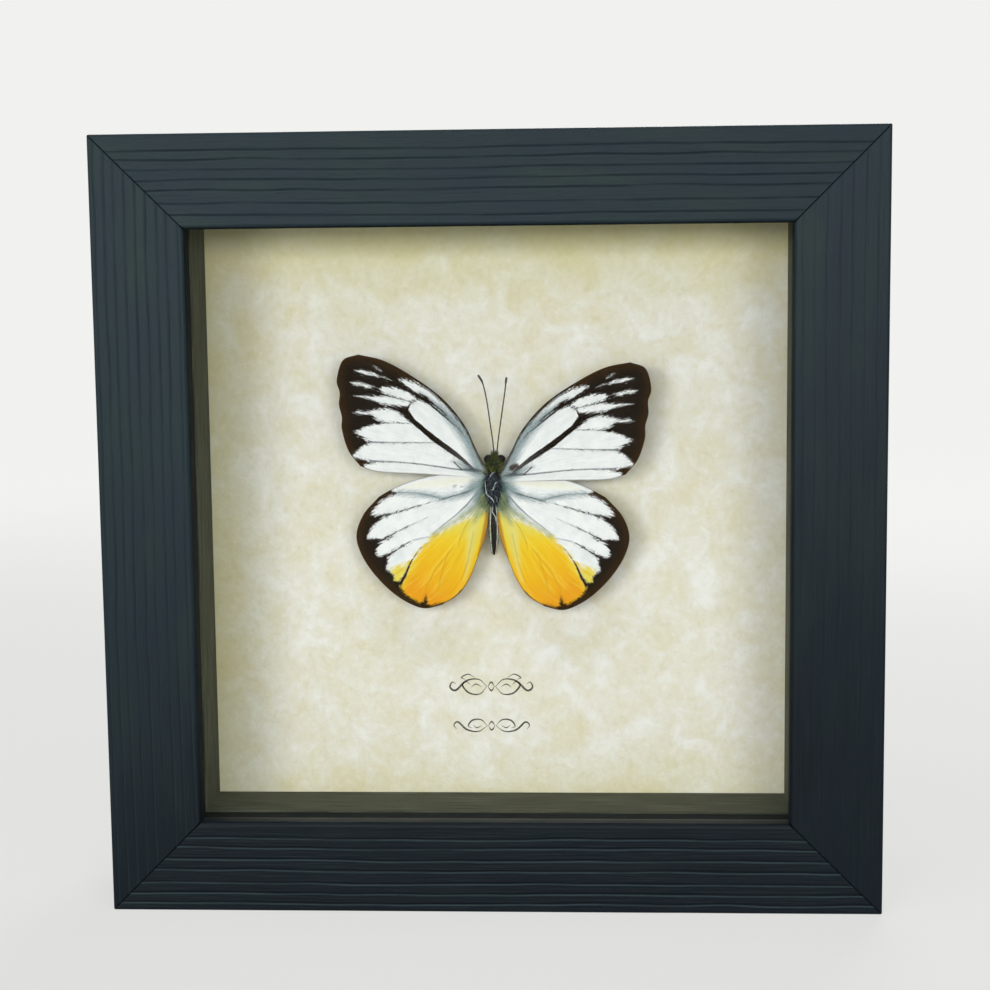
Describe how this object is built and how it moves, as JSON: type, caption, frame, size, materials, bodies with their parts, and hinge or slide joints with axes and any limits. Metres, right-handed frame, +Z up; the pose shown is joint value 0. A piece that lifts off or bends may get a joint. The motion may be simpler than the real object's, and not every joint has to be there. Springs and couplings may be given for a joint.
{
  "type": "butterfly display case",
  "caption": "Deep free-standing wooden box frame with a glass front that shows one spread butterfly on a parchment backing, closed at the back by a panel under turn buttons.",
  "frame": {"origin": "middle of the base, half way between the front face and the outermost hardware on the back", "axes": "+X to the viewer's right, +Y away from the viewer, +Z up"},
  "size_m": [0.152, 0.0398, 0.1525],
  "materials": {
    "painted_wood": "satin slate-black paint over brushed grain",
    "nail_steel": "bare spring steel",
    "glass": "clear, polished",
    "bead_wood": "dark paint",
    "liner_wood": "olive-grey paint with fine lengthwise grain",
    "parchment": "mottled cream parchment print",
    "foam_board": "white card face",
    "hardboard": "plain brown hardboard",
    "riser_board": "plain card",
    "insect_body": "blue-black with grey and green-grey hair",
    "insect_eye": "glossy dark",
    "antenna": "dark brown",
    "forewing": "white scales with brown-black veins and margin",
    "hindwing": "white and orange-yellow scales with a brown-black margin",
    "plated_steel": "zinc plated"
  },
  "bodies": {
    "case": {"rail_top": "painted_wood", "rail_bottom": "painted_wood", "rail_left": "painted_wood", "rail_right": "painted_wood", "corner_v_nails": "nail_steel", "front_glass": "glass", "glazing_bead_top": "bead_wood", "glazing_bead_bottom": "bead_wood", "glazing_bead_left": "bead_wood", "glazing_bead_right": "bead_wood", "liner_top": "liner_wood", "liner_bottom": "liner_wood", "liner_left": "liner_wood", "liner_right": "liner_wood", "backing_paper": "parchment", "mount_board": "foam_board", "back_panel": "hardboard", "specimen_riser": "riser_board", "head": "insect_body", "eyes": "insect_eye", "thorax": "insect_body", "abdomen": "insect_body", "antenna_left": "antenna", "antenna_right": "antenna", "forewing_left": "forewing", "forewing_right": "forewing", "hindwing_left": "hindwing", "hindwing_right": "hindwing", "turn_button_screws": "plated_steel", "hanger_strap": "plated_steel", "hanger_screw": "plated_steel"},
    "turn_button_left_upper": {"turn_button_left_upper": "plated_steel"},
    "turn_button_left_lower": {"turn_button_left_lower": "plated_steel"},
    "turn_button_right_upper": {"turn_button_right_upper": "plated_steel"},
    "turn_button_right_lower": {"turn_button_right_lower": "plated_steel"},
    "ring": {"hanger_ring": "plated_steel"}
  },
  "joints": [
    {"name": "button_left_upper_turn", "type": "hinge", "parent": "case", "child": "turn_button_left_upper", "pos_m": [-0.07, 0.01695, 0.11125], "axis": [0, 1, 0], "continuous": true},
    {"name": "button_left_lower_turn", "type": "hinge", "parent": "case", "child": "turn_button_left_lower", "pos_m": [-0.07, 0.01695, 0.04125], "axis": [0, 1, 0], "continuous": true},
    {"name": "button_right_upper_turn", "type": "hinge", "parent": "case", "child": "turn_button_right_upper", "pos_m": [0.07, 0.01695, 0.11125], "axis": [0, 1, 0], "continuous": true},
    {"name": "button_right_lower_turn", "type": "hinge", "parent": "case", "child": "turn_button_right_lower", "pos_m": [0.07, 0.01695, 0.04125], "axis": [0, 1, 0], "continuous": true},
    {"name": "ring_swing", "type": "hinge", "parent": "case", "child": "ring", "pos_m": [0, 0.01808, 0.1429], "axis": [1, 0, 0], "range_deg": [0, 175]}
  ]
}
